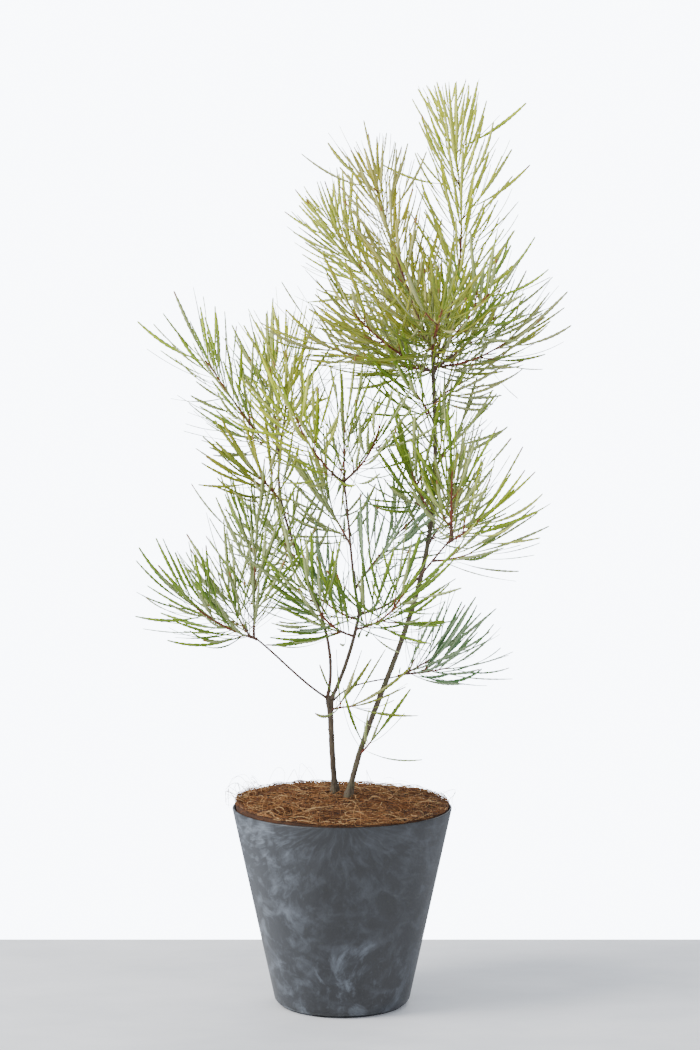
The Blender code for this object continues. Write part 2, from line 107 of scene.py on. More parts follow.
class Look:
    # One material: plain values go straight on the shader's sockets, the rest is added as nodes.
    def __init__(self, name, **fixed):
        self.material = bpy.data.materials.new(name)
        self.material.use_nodes = True
        self.tree = self.material.node_tree
        self.shader = self.tree.nodes["Principled BSDF"]
        for socket, value in fixed.items():
            self.paint(socket.replace("_", " "), value)

    def add(self, kind, settings=None, sockets=None, output=0):
        node = self.tree.nodes.new(kind)
        for key, value in (settings or {}).items():
            if key == "stops":
                while len(node.color_ramp.elements) < len(value):
                    node.color_ramp.elements.new(0.5)
                for stop, (place, colour) in zip(node.color_ramp.elements, value):
                    stop.position = place
                    stop.color = colour
            else:
                setattr(node, key, value)
        for key, value in (sockets or {}).items():
            self.feed(node.inputs[key], value)
        return Wire(self, node.outputs[output])

    def feed(self, socket, value):
        if isinstance(value, Wire):
            self.tree.links.new(value.socket, socket)
        else:
            socket.default_value = value

    def paint(self, socket, value):
        self.feed(self.shader.inputs[socket], value)

    def place(self):
        return self.add("ShaderNodeTexCoord", output=3)

    def split(self, vector):
        axes = self.add("ShaderNodeSeparateXYZ", None, {0: vector}).socket.node.outputs
        return [Wire(self, axis) for axis in axes]

    def noise(self, vector, scale, detail=4.0, roughness=0.55, distortion=0.0):
        return self.add("ShaderNodeTexNoise", None, {"Vector": vector, "Scale": scale, "Detail": detail,
                        "Roughness": roughness, "Distortion": distortion})

    def stretch(self, vector, scale):
        return self.add("ShaderNodeMapping", None, {"Vector": vector, "Scale": scale})

    def blend(self, factor, first, second):
        return self.add("ShaderNodeMix", {"data_type": "RGBA"}, {0: factor, 6: first, 7: second}, 2)

    def ramp(self, factor, stops):
        return self.add("ShaderNodeValToRGB", {"stops": stops}, {"Fac": factor})

    def level(self, factor, low, high):
        return self.add("ShaderNodeMapRange", {"clamp": True}, {0: factor, 1: low, 2: high})

    def bump(self, height, strength, distance):
        return self.add("ShaderNodeBump", None,
                        {"Height": height, "Strength": strength, "Distance": distance})


def tint(red, green, blue):
    # A colour given as it looks on a screen, 0 to 255, made linear.
    share = np.array([red, green, blue]) / 255
    linear = np.where(share <= 0.04045, share / 12.92, ((share + 0.055) / 1.055) ** 2.4)
    return (*linear.tolist(), 1.0)


# Shapes

def unit(vectors):
    return vectors / np.linalg.norm(vectors, axis=-1, keepdims=True)


def growPath(start, headings, length, steps):
    # P(t) = start + the sum of unit headings, each a Bernstein blend of the given ones at t.
    headings = unit(np.array(headings, float))
    last = len(headings) - 1
    t = (np.arange(steps) + 0.5) / steps
    weights = np.stack([math.comb(last, k) * t**k * (1 - t)**(last - k) for k in range(last + 1)], -1)
    return np.vstack([[start], start + np.cumsum(unit(weights @ headings), axis=0) * length / steps])


def lengthAlong(path):
    return np.r_[0, np.cumsum(np.linalg.norm(np.diff(path, axis=0), axis=1))]


def pointsAt(path, shares):
    # The points and the headings at shares of a path's length.
    run = lengthAlong(path)
    heading = unit(np.gradient(path, axis=0))
    target = np.asarray(shares, float) * run[-1]
    spots = np.stack([np.interp(target, run, path[:, k]) for k in range(3)], -1)
    ways = np.stack([np.interp(target, run, heading[:, k]) for k in range(3)], -1)
    return spots, unit(ways)


def crossAxes(path):
    # Two directions square to a path: one that is square to its chord, less its part along the path.
    heading = unit(np.gradient(path, axis=0))
    chord = unit(path[-1] - path[0])
    guide = unit(np.cross(chord, [0.0, 1.0, 0.0] if abs(chord[1]) < 0.8 else [1.0, 0.0, 0.0]))
    side = unit(guide - heading * (heading @ guide)[:, None])
    return side, np.cross(heading, side)


def ringAngles(sides):
    return np.linspace(0, fullTurn, sides, endpoint=False)


def unrolled(angle, run):
    # Points of a tube of radius 1, where uneven fields over a limb are read.
    return np.stack(np.broadcast_arrays(np.cos(angle), np.sin(angle), run[:, None]), -1)


def ripple(rng, points, scales, waves=28):
    # A smooth uneven field: the mean of sines of (frequency . point + phase), about -1 to 1.
    frequency = rng.normal(0, 1, (waves, 3)) * np.asarray(scales)
    phase = rng.uniform(0, fullTurn, waves)
    return np.sin(points @ frequency.T + phase).sum(-1) * math.sqrt(2 / waves) * 0.6


def gridFaces(rows, columns):
    # Quads of a grid that closes round its columns.
    row, column = np.meshgrid(np.arange(rows - 1), np.arange(columns), indexing="ij")
    after = (column + 1) % columns
    corners = [row * columns + column, row * columns + after,
               (row + 1) * columns + after, (row + 1) * columns + column]
    return np.stack(corners, -1).reshape(-1, 4)


def endFans(rows, sides):
    # Triangles that close a tube's first and last ring on the two points that follow its wall.
    ring = np.arange(sides)
    after = (ring + 1) % sides
    first = rows * sides
    last = (rows - 1) * sides
    return np.vstack([np.stack([np.full(sides, first), after, ring], -1),
                      np.stack([last + ring, last + after, np.full(sides, first + 1)], -1)])


def tube(path, radii, sides):
    # P(u, v) = path(u) + radius(u, v) (cos v side(u) + sin v other(u)), closed by a fan at each end.
    side, other = crossAxes(path)
    angle = ringAngles(sides)
    radii = radii[..., None]
    around = np.cos(angle)[None, :, None] * side[:, None] + np.sin(angle)[None, :, None] * other[:, None]
    wall = (path[:, None] + radii * around).reshape(-1, 3)
    tip = path[-1] + unit(path[-1] - path[-2]) * radii[-1].mean() * 0.8
    return np.vstack([wall, path[:1], tip]), gridFaces(len(path), sides), endFans(len(path), sides)


def addObject(name, data):
    added = bpy.data.objects.new(name, data)
    bpy.context.scene.collection.objects.link(added)
    return added


class Pile:
    # Meshes gathered into one piece, each face with the number of its material.
    def __init__(self):
        self.points, self.quads, self.fans, self.quadLooks, self.fanLooks = [], [], [], [], []
        self.count = 0

    def put(self, points, quads, fans, quadLooks=0, fanLooks=0):
        self.points.append(points)
        self.quads.append(quads + self.count)
        self.fans.append(fans + self.count)
        self.quadLooks.append(np.broadcast_to(quadLooks, len(quads)))
        self.fanLooks.append(np.broadcast_to(fanLooks, len(fans)))
        self.count += len(points)

    def make(self, name, looks, slot, nodes):
        points = np.vstack(self.points)
        quads, fans = np.vstack(self.quads), np.vstack(self.fans)
        numbers = np.concatenate(self.quadLooks + self.fanLooks)
        used, numbers = np.unique(numbers, return_inverse=True)
        corners = np.concatenate([quads.ravel(), fans.ravel()])
        sizes = np.r_[np.full(len(quads), 4), np.full(len(fans), 3)]
        mesh = bpy.data.meshes.new(name)
        mesh.vertices.add(len(points))
        mesh.vertices.foreach_set("co", points.astype(np.float32).ravel())
        mesh.loops.add(len(corners))
        mesh.loops.foreach_set("vertex_index", corners.astype(np.int32))
        mesh.polygons.add(len(sizes))
        mesh.polygons.foreach_set("loop_start", np.r_[0, np.cumsum(sizes)[:-1]].astype(np.int32))
        for number in used:
            mesh.materials.append(looks[number].material)
        mesh.polygons.foreach_set("material_index", numbers.astype(np.int32).ravel())
        mesh.update(calc_edges=True)
        mesh.validate()
        mesh.shade_smooth()
        piece = addObject(name, mesh)
        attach(piece, "root")
        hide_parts(*nodes)
        print("piece", name, len(quads) * 2 + len(fans), "triangles")


def makePiece(name, parts, looks, slot, node):
    pile = Pile()
    pile.put(*parts)
    pile.make(name, looks, slot, [node])


# Limbs, as the solids have them. A limb starts at a place along its parent, given as a share of it.
Limb = namedtuple("Limb", "parent place length root tip headings")
limbs = {
    "stem_left": Limb(None, 0.0, 0.109, 0.0034, 0.0032,
        [(-0.12, -0.07, 0.99), (0, -0.07, 1), (-0.07, -0.07, 0.99)]),
    "stem_right": Limb(None, 0.0, 0.4955, 0.0033, 0.0021,
        [(0.16, 0.03, 0.99), (0.7, 0.03, 0.72), (-0.14, 0.03, 0.99), (-0.03, 0.03, 1)]),
    "bough_low_left": Limb("stem_left", 0.985, 0.113, 0.00135, 0.0011,
        [(-0.78, -0.35, 0.52), (-0.57, -0.34, 0.75), (-0.7, -0.35, 0.62)]),
    "bough_left": Limb("stem_left", 1.0, 0.272, 0.00185, 0.0013,
        [(0.23, 0.14, 0.96), (-0.53, 0.14, 0.84), (-0.53, 0.14, 0.83), (0.1, 0.14, 0.99)]),
    "bough_middle": Limb("stem_left", 1.0, 0.109, 0.0022, 0.0019,
        [(0.39, -0.31, 0.86), (0.27, -0.31, 0.91), (0.16, -0.32, 0.93)]),
    "bough_upper": Limb("bough_middle", 1.0, 0.1355, 0.0017, 0.0012,
        [(-0.19, 0.11, 0.98), (-0.03, 0.11, 0.99), (-0.12, 0.11, 0.99)]),
    "bough_right": Limb("bough_middle", 0.985, 0.131, 0.0014, 0.0011,
        [(0.96, -0.26, 0.14), (0.46, -0.22, 0.86), (0.61, -0.28, 0.74)]),
    "bough_low_right": Limb("stem_left", 0.92, 0.108, 0.00105, 0.00085,
        [(0.43, 0.65, 0.62), (0.83, 0.54, -0.13), (0.74, 0.66, 0.09)]),
}
limbShape = {
    "feet": {"stem_left": (-0.0070, 0.0120), "stem_right": (0.0070, -0.0100)},
    "shifts": {"bough_left": (-0.0022, 0.0013), "bough_middle": (0.0026, -0.0012),
               "bough_upper": (-0.0003, 0.0002)},
    "footHeight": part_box("stem_left")[0].z,
    "sides": 22,
    "ringStep": 0.0011,
    "flare": 0.75,  # widening at the coir
    "flareReach": 0.012,
    "flarePower": 1.5,
    "lobes": 4,  # ribs of the flare
    "lobeDepth": 0.16,
    "lobeTurn": 1.1,
    "collar": 0.42,  # swelling under the left stem's fork
    "collarPlace": 0.97,
    "collarReach": 0.09,
    "rootSwell": 0.55,  # widening where a bough leaves its parent
    "rootReach": 0.0035,
    "furrow": 0.085,  # depth of the bark's furrows, as a share of the radius
    "furrowScale": (3.4, 3.4, 210.0),
    "crack": 0.35,  # fine cracks, as a share of the furrows
    "crackScale": (5.0, 5.0, 900.0),
    "knob": 0.22,  # height of the old leaf scars, as a share of the radius
    "knobFirst": 0.006,
    "knobStep": 0.0085,
    "knobTurn": 2.4,
    "knobWidth": 0.55,
    "knobReach": 0.0011,
    "seed": 3,
}
barkTints = {  # furrows, ridges and moss
    "grey": ((50, 42, 32), (104, 90, 72), (92, 92, 64)),
    "brown": ((58, 40, 32), (108, 80, 64), (92, 84, 66)),
}
greyLimbs = {"stem_left", "stem_right", "bough_middle"}


def limbCourse(name):
    # The limb's middle line, from its parent's middle, so that a bough's root is inside its parent.
    limb = limbs[name]
    if limb.parent is None:
        start = np.array([*limbShape["feet"][name], limbShape["footHeight"]])
    else:
        shift = limbShape["shifts"].get(name, (0.0, 0.0))
        start = pointsAt(courses[limb.parent], [limb.place])[0][0] + np.array([*shift, 0.0])
    return growPath(start, limb.headings, limb.length, int(limb.length / limbShape["ringStep"]))


def barkOn(name, path, rng):
    # radius(u, v) = taper x root swelling x (1 + flare lobes + furrows + leaf scars).
    limb, shape = limbs[name], limbShape
    run = lengthAlong(path)
    share = run / run[-1]
    angle = ringAngles(shape["sides"])
    radius = limb.root + (limb.tip - limb.root) * share
    if limb.parent is None:
        flare = np.exp(-(run / shape["flareReach"])**shape["flarePower"])
        radius = radius * (1 + shape["flare"] * flare)
        lobes = flare[:, None] * shape["lobeDepth"] * np.cos(shape["lobes"] * angle + shape["lobeTurn"])
    else:
        radius = radius * (1 + shape["rootSwell"] * np.exp(-run / shape["rootReach"]))
        lobes = np.zeros((len(path), shape["sides"]))
    if name == "stem_left":
        away = (share - shape["collarPlace"]) / shape["collarReach"]
        radius = radius * (1 + shape["collar"] * np.exp(-away**2))
    ring = unrolled(angle, run)
    furrows = -np.abs(ripple(rng, ring, shape["furrowScale"]))
    furrows = furrows + shape["crack"] * ripple(rng, ring, shape["crackScale"])
    knobs = np.zeros_like(lobes)
    for k, middle in enumerate(np.arange(shape["knobFirst"], limb.length, shape["knobStep"])):
        sideways = np.angle(np.exp(1j * (angle - k * shape["knobTurn"]))) / shape["knobWidth"]
        along = (run[:, None] - middle) / shape["knobReach"]
        knobs += np.exp(-sideways**2) * np.exp(-along**2)
    return radius[:, None] * (1 + lobes + shape["furrow"] * furrows + shape["knob"] * knobs)


def barkLook(name, dark, light, moss):
    look = Look(name)
    place = look.place()
    furrow = look.noise(look.stretch(place, (900.0, 900.0, 110.0)), 1.0, 5.0, 0.6)
    patch = look.noise(place, 62.0, 3.0)
    grain = look.noise(place, 1500.0, 2.0)
    colour = look.ramp(furrow, [(0.34, tint(*dark)), (0.62, tint(*light))])
    look.paint("Base Color", look.blend(look.level(patch, 0.50, 0.72), colour, tint(*moss)))
    look.paint("Roughness", 0.72 + 0.2 * grain)
    look.paint("Normal", look.bump(furrow + 0.4 * grain, 0.55, 0.0004))
    return look


courses = {}
barkRng = np.random.default_rng(limbShape["seed"])
barks = {shade: barkLook("bark_" + shade, *tints) for shade, tints in barkTints.items()}
for name in limbs:
    courses[name] = limbCourse(name)
    bark = tube(courses[name], barkOn(name, courses[name], barkRng), limbShape["sides"])
    makePiece(name + "_bark", bark, [barks["grey" if name in greyLimbs else "brown"]], "bark", name)
print("bark done")

# Shoots of each mass. Youth runs from 0, all mature leaves, to 1, all young ones.
Shoot = namedtuple("Shoot", "name parent place length hue youth headings")
masses = {
    "low_left": [
        ("lowLeftOut", "bough_low_left", 1.0, 0.088, "green", 0.1,
         [(-0.89, -0.33, 0.31), (-0.68, -0.33, 0.65)]),
        ("lowLeftUp", "lowLeftOut", 0.04, 0.12, "green", 0.15, [(0, 0.21, 0.98), (0.04, 0.21, 0.98)]),
        ("lowLeftBack", "lowLeftOut", 0.08, 0.07, "green", 0.2, [(-0.42, 0.8, 0.4), (-0.3, 0.62, 0.72)])],
    "left": [
        ("leftUp", "bough_left", 1.0, 0.106, "green", 0.55, [(-0.1, 0.4, 0.91), (-0.16, 0.66, 0.75)]),
        ("leftOut", "leftUp", 0.04, 0.133, "green", 0.45,
         [(-0.76, -0.19, 0.62), (-0.41, -0.18, 0.89), (-0.58, -0.2, 0.79)]),
        ("leftIn", "leftUp", 0.06, 0.12, "lime", 0.85, [(0.22, 0.05, 0.97), (-0.13, 0.21, 0.97)])],
    "left_front": [
        ("leftFront", "bough_left", 0.81, 0.072, "olive", 0.35,
         [(-0.22, -0.81, 0.55), (-0.41, -0.83, 0.39)])],
    "left_back": [
        ("leftBack", "bough_left", 0.52, 0.088, "green", 0.2, [(-0.35, 0.82, 0.44), (-0.47, 0.75, 0.46)])],
    "middle": [
        ("middleUp", "bough_upper", 1.0, 0.07, "green", 0.5, [(-0.05, 0.2, 0.98), (0.05, 0.08, 1)]),
        ("middleLeft", "middleUp", 0.06, 0.103, "lime", 0.5, [(-0.69, -0.47, 0.56), (-0.28, -0.47, 0.84)]),
        ("middleRight", "middleUp", 0.1, 0.086, "green", 0.35, [(0.67, -0.51, 0.54), (0.17, -0.49, 0.86)])],
    "right": [
        ("rightOut", "bough_right", 1.0, 0.047, "lime", 0.35, [(0.8, -0.4, 0.45), (0.6, -0.42, 0.68)]),
        ("rightUp", "rightOut", 0.09, 0.082, "green", 0.5, [(0, -0.36, 0.93), (0.01, -0.36, 0.93)]),
        ("rightShort", "rightOut", 0.16, 0.048, "olive", 0.3, [(-0.1, 0.45, 0.89), (0.16, 0.33, 0.93)])],
    "right_low": [
        ("rightLow", "bough_right", 0.8, 0.048, "green", 0.15, [(0.85, 0.5, -0.05), (0.9, 0.3, 0.32)])],
    "centre_front": [
        ("centreFront", "bough_middle", 0.81, 0.115, "green", 0.15,
         [(0.58, -0.79, 0.2), (0.25, -0.74, 0.62)])],
    "centre_left": [
        ("centreLeft", "bough_middle", 0.73, 0.103, "green", 0.2,
         [(-0.74, -0.62, 0.26), (-0.46, -0.56, 0.68), (-0.16, -0.62, 0.76)])],
    "centre_back": [
        ("centreBack", "bough_middle", 0.92, 0.078, "blue", 0.2, [(-0.66, 0.75, 0.05), (-0.49, 0.7, 0.5)])],
    "centre_right": [
        ("centreRight", "bough_upper", 0.19, 0.112, "blue", 0.25,
         [(0.49, 0.56, 0.67), (0.62, 0.55, 0.56)])],
    "centre_rear": [
        ("centreRear", "bough_upper", 0.54, 0.1, "green", 0.25, [(-0.28, 0.87, 0.4), (-0.3, 0.8, 0.52)])],
    "low_right": [
        ("lowRight", "bough_low_right", 1.0, 0.064, "blue", 0.15, [(0.8, 0.56, 0.22), (0.7, 0.5, 0.52)]),
        ("lowRightOut", "lowRight", 0.12, 0.052, "blue", 0.1, [(0.95, 0.2, 0), (0.92, 0.1, 0.22)])],
    "foot_left": [
        ("footLeft", "stem_left", 0.88, 0.034, "olive", 0.25, [(0.76, -0.6, 0.26), (0.78, -0.6, 0.17)])],
    "foot_right": [
        ("footRight", "stem_right", 0.1, 0.026, "green", 0.2, [(0.55, -0.6, 0.58), (0.39, -0.6, 0.7)])],
    "crown": [
        ("crownLeader", "stem_right", 1.0, 0.27, "lime", 0.8,
         [(0.46, 0.05, 0.88), (-0.1, 0.05, 0.99), (-0.18, 0.05, 0.98)]),
        ("crownSecond", "crownLeader", 0.015, 0.207, "olive", 0.75,
         [(-0.43, -0.12, 0.89), (-0.3, -0.12, 0.95), (-0.22, -0.12, 0.97)]),
        ("crownLeftUp", "crownLeader", 0.022, 0.19, "lime", 0.6,
         [(-0.59, 0.26, 0.78), (-0.81, 0.2, 0.56), (-0.37, 0.2, 0.91)])],
    "crown_left": [
        ("crownLeft", "stem_right", 0.965, 0.14, "olive", 0.4,
         [(-0.71, -0.63, 0.33), (-0.49, -0.65, 0.57)]),
        ("crownLeftLow", "crownLeft", 0.05, 0.114, "olive", 0.3, [(-0.99, 0.1, 0.1), (-0.93, 0.06, 0.36)])],
    "crown_right": [
        ("crownRight", "stem_right", 0.975, 0.095, "olive", 0.2, [(0.95, -0.3, 0.06), (0.74, -0.31, 0.6)]),
        ("crownRightBack", "crownRight", 0.06, 0.112, "green", 0.3,
         [(0.62, 0.66, 0.42), (0.57, 0.61, 0.55)])],
    "crown_front": [
        ("crownFront", "stem_right", 0.985, 0.152, "olive", 0.3,
         [(-0.05, -0.92, 0.37), (0.12, -0.91, 0.39)]),
        ("crownFrontRight", "crownFront", 0.05, 0.122, "green", 0.35,
         [(0.5, -0.6, 0.62), (0.42, -0.72, 0.56)])],
    "crown_back": [
        ("crownBack", "stem_right", 0.955, 0.146, "green", 0.2, [(0.2, 0.9, 0.38), (-0.15, 0.84, 0.52)]),
        ("crownBackLeft", "crownBack", 0.05, 0.124, "green", 0.3,
         [(-0.45, 0.86, 0.25), (-0.4, 0.88, 0.2)])],
    "spur_front": [
        ("spurFront", "stem_right", 0.65, 0.079, "green", 0.25,
         [(-0.35, -0.69, 0.63), (-0.22, -0.7, 0.68)])],
    "spur_right": [
        ("spurRight", "stem_right", 0.75, 0.067, "green", 0.3, [(0.31, 0.73, 0.61), (0.5, 0.71, 0.49)])],
    "spur_left": [
        ("spurLeft", "stem_right", 0.85, 0.067, "green", 0.3,
         [(-0.29, -0.72, 0.63), (-0.42, -0.73, 0.53)])],
    "spur_high": [
        ("spurHigh", "stem_right", 0.9, 0.062, "olive", 0.3, [(0.46, 0.81, 0.35), (0.55, 0.8, 0.24)])],
    "spur_back": [
        ("spurBack", "stem_right", 0.58, 0.08, "green", 0.2, [(0.3, 0.83, 0.47), (0.43, 0.81, 0.4)])],
}
growing = {"crownLeader", "crownSecond", "crownLeftUp", "leftIn"}  # their tips still have short leaves

# Masses gathered in each leaf piece and each twig piece
sprays = {
    "crown": ["crown"],
    "whorl": ["crown_left", "crown_right", "crown_front", "crown_back"],
    "left": ["left", "left_front", "left_back", "low_left"],
    "middle": ["middle", "centre_front", "centre_left", "centre_back", "centre_right", "centre_rear"],
    "right": ["right", "right_low", "low_right", "foot_left", "foot_right",
              "spur_front", "spur_right", "spur_left", "spur_high", "spur_back"],
}

leafShape = {
    "length": 0.080,
    "shortest": 0.82,  # share of the length, and how much more at most
    "more": 0.33,
    "width": 0.0038,
    "widths": (0.8, 1.12),
    "footWidth": 0.0009,
    "thickness": 0.0005,
    "roll": 0.8,  # how much a leaf twists along its length
    "faceTurn": 0.4,
    "fineSteps": 24,
    "plain": (0.0, 0.05, 0.14),  # places along the smooth foot
    "toothed": 0.30,  # share of the length where the teeth begin
    "teeth": 8,
    "crest": 0.72,  # where a tooth's point lies along it
    "footStart": 0.24,  # width near the foot, as a share of the leaf's, and how fast it grows
    "footGrowth": 1.5,
    "taper": 0.62,
    "taperFrom": 0.62,
    "taperPower": 1.7,
    "valleyWidth": 0.84,
    "crestWidth": 1.14,
    "tipWidth": 0.7,
    "step": 0.0034,
    "stepShares": {  # how close-set a mass's leaves are, where not as usual
        "crown": 0.50, "low_left": 0.56, "left": 0.76, "low_right": 0.66, "left_front": 0.74,
        "left_back": 0.8, "middle": 0.8, "right": 0.76, "centre_left": 0.66, "centre_front": 0.7,
        "centre_right": 0.74, "centre_back": 0.8, "spur_front": 0.8, "spur_right": 0.8,
        "spur_left": 0.8, "crown_left": 1.15, "crown_right": 1.15, "crown_front": 1.25,
        "crown_back": 1.15,
    },
    "jitter": 0.3,  # share of a step
    "firstLeaf": 0.008,
    "nearestEnd": 0.001,
    "startTurns": 6.28,  # radians
    "turn": math.radians(137.5),
    "spreadLow": math.radians(66),
    "spreadTip": math.radians(33),
    "spreadPower": 1.6,
    "spreadWander": 0.12,
    "tipShrink": 0.55,
    "tipBegins": 0.65,
    "tipPower": 2.2,
    "fanLeaves": 6,  # leaves that close the end of a shoot
    "fanReach": 0.010,
    "fanSpread": (0.15, 0.80),
    "lowest": -0.32,
    "rise": 0.30,
    "tipRise": 1.2,  # how much more its tip rises
    "follow": 0.22,  # how much its middle and its tip turn along the shoot
    "tipFollow": 0.25,
    "straight": 0.6,
    "lean": (0.12, 0.22),
    "upright": 0.97,
    "tries": 5,
    "tryTurn": 0.45,
    "nearby": 0.11,  # how far round a leaf's foot its neighbours are looked for
    "enoughRoom": 0.006,
    "spare": 0.006,  # how far past the solids' box a leaf may reach
    "seed": 29,
}
twigShape = {
    "root": 0.0014,
    "tip": 0.0008,
    "sides": 7,
    "ringStep": 0.0022,
    "leastSteps": 12,
    "swell": 0.45,
    "swellReach": 0.003,
    "knob": 0.14,
    "knobScale": (2.0, 2.0, 1100.0),
    "sideStep": 0.034,  # run of shoot for each side twig
    "sideStart": 0.35,  # where one may start in its run, and how much later at most
    "sideLater": 0.3,
    "sideLength": (0.012, 0.026),
    "sideAlong": 0.75,
    "sideOut": 0.65,
    "sideRise": 0.5,
    "sideSteps": 9,
    "sideRoot": 0.6,  # thickness of a side twig's root, as a share of a shoot's
    "sideTip": 0.7,  # and of its tip, as a share of its root
    "sideLeaves": 4,
    "sideFirst": 0.004,
    "sidePlace": 0.3,  # where its leaves' colours fall between old and young
    "seed": 7,
}

# Leaf colours: mature, young, and the paler undersides of both
hues = {
    "green": ((88, 118, 28), (170, 190, 42), (164, 176, 116), (188, 198, 108)),
    "lime": ((118, 146, 26), (210, 216, 48), (180, 190, 100), (212, 218, 94)),
    "olive": ((108, 128, 42), (186, 178, 52), (174, 180, 128), (198, 192, 106)),
    "blue": ((76, 120, 62), (136, 168, 90), (154, 180, 138), (174, 194, 138)),
}
hueSteps = 5
leafTones = {
    "alongShoot": 0.22,  # how much younger a shoot's last leaf is than its first
    "alongGrowing": 0.35,
    "wander": 0.13,
    "dryTips": 0.16,  # share of the leaves
    "footEnds": 0.03,  # places along the leaf
    "outerBegins": 0.66,
    "tipBegins": 0.94,
}
twigTints = {"brown": (92, 62, 48), "red": (128, 60, 46), "purple": (112, 62, 66), "olive": (150, 150, 68)}
leafLooks = []
topNumbers = {}
for hue, tints in hues.items():
    old, young, oldUnder, youngUnder = np.array(tints)
    topNumbers[hue] = len(leafLooks) + 2 * np.arange(hueSteps)
    for step in range(hueSteps):
        part = step / (hueSteps - 1)
        top = old * (1 - part) + young * part
        under = oldUnder * (1 - part) + youngUnder * part
        leafLooks.append(Look(f"leaf_{hue}_{step}", Base_Color=tint(*top), Roughness=0.42,
                              Specular_IOR_Level=0.4))
        leafLooks.append(Look(f"leaf_{hue}_{step}_under", Base_Color=tint(*under), Roughness=0.75))
tipNumber = len(leafLooks)
leafLooks.append(Look("leaf_tip_brown", Base_Color=tint(150, 108, 62), Roughness=0.8))
footNumber = len(leafLooks)
leafLooks.append(Look("leaf_foot", Base_Color=tint(168, 128, 66), Roughness=0.6))
woodNumber = {shade: len(leafLooks) + k for k, shade in enumerate(twigTints)}
for shade, colour in twigTints.items():
    leafLooks.append(Look("twig_" + shade, Base_Color=tint(*colour), Roughness=0.6))


def leafStations():
    # Places along a leaf and its width there: a slim foot, then saw teeth that point to the blunt tip.
    shape = leafShape
    pitch = (1 - shape["toothed"]) / shape["teeth"]
    valley = shape["toothed"] + pitch * np.arange(shape["teeth"])
    crest = valley + pitch * shape["crest"]
    places = np.r_[shape["plain"], np.stack([valley, crest], -1).ravel(), 1.0]
    outer = np.clip((places - shape["taperFrom"]) / (1 - shape["taperFrom"]), 0, 1)
    narrowing = 1 - shape["taper"] * outer**shape["taperPower"]
    body = np.minimum(1, shape["footStart"] + shape["footGrowth"] * places) * narrowing
    body[0] = shape["footWidth"] / shape["width"]
    tooth = [shape["valleyWidth"], shape["crestWidth"]]
    saw = np.r_[np.ones(len(shape["plain"])), np.tile(tooth, shape["teeth"]), shape["tipWidth"]]
    return places, body * saw


stationPlaces, stationWidths = leafStations()


def leafPaths(foot, headings, length, places):
    # Each leaf's line at the given places: the running sum of its three headings' Bernstein blend.
    fine = leafShape["fineSteps"]
    t = (np.arange(fine) + 0.5) / fine
    weights = np.stack([(1 - t)**2, 2 * t * (1 - t), t**2], -1)
    ways = unit(np.einsum("tk,...kc->...tc", weights, headings))
    line = np.concatenate([np.zeros_like(ways[..., :1, :]), np.cumsum(ways, axis=-2)], axis=-2)
    target = np.asarray(places) * fine
    low = np.minimum(target.astype(int), fine - 1)
    part = (target - low)[:, None]
    line = line[..., low, :] * (1 - part) + line[..., low + 1, :] * part
    return foot[..., None, :] + line * np.asarray(length)[..., None, None] / fine


def leafMeshes(feet, headings, lengths, across, widths, rolls):
    # A section has a left edge, a right edge and a raised middle: P -+ width/2 across, P + rise normal.
    line = leafPaths(feet, headings, lengths, stationPlaces)
    heading = unit(np.gradient(line, axis=1))
    flat = unit(across[:, None] - heading * (heading * across[:, None]).sum(-1, keepdims=True))
    normal = np.cross(flat, heading)
    roll = (rolls[:, None] * stationPlaces)[..., None]
    flat, normal = (flat * np.cos(roll) + normal * np.sin(roll),
                    normal * np.cos(roll) - flat * np.sin(roll))
    wide = widths[:, None, None] * stationWidths[None, :, None] / 2
    lift = np.minimum(leafShape["thickness"], wide * 0.5)
    section = np.stack([line - flat * wide, line + flat * wide, line + normal * lift], 2)
    rows = len(stationPlaces)
    base = np.arange(len(feet))[:, None, None] * rows * 3
    row = np.arange(rows - 1)[None, :, None] * 3
    under, right, left = [3, 4, 1, 0], [4, 5, 2, 1], [5, 3, 0, 2]
    quads = base[..., None] + row[..., None] + np.array([under, right, left])[None, None]
    fans = base + np.array([[0, 1, 2], [rows * 3 - 1, rows * 3 - 2, rows * 3 - 3]])[None]
    return section.reshape(-1, 3), quads.reshape(-1, 4), fans.reshape(-1, 3)


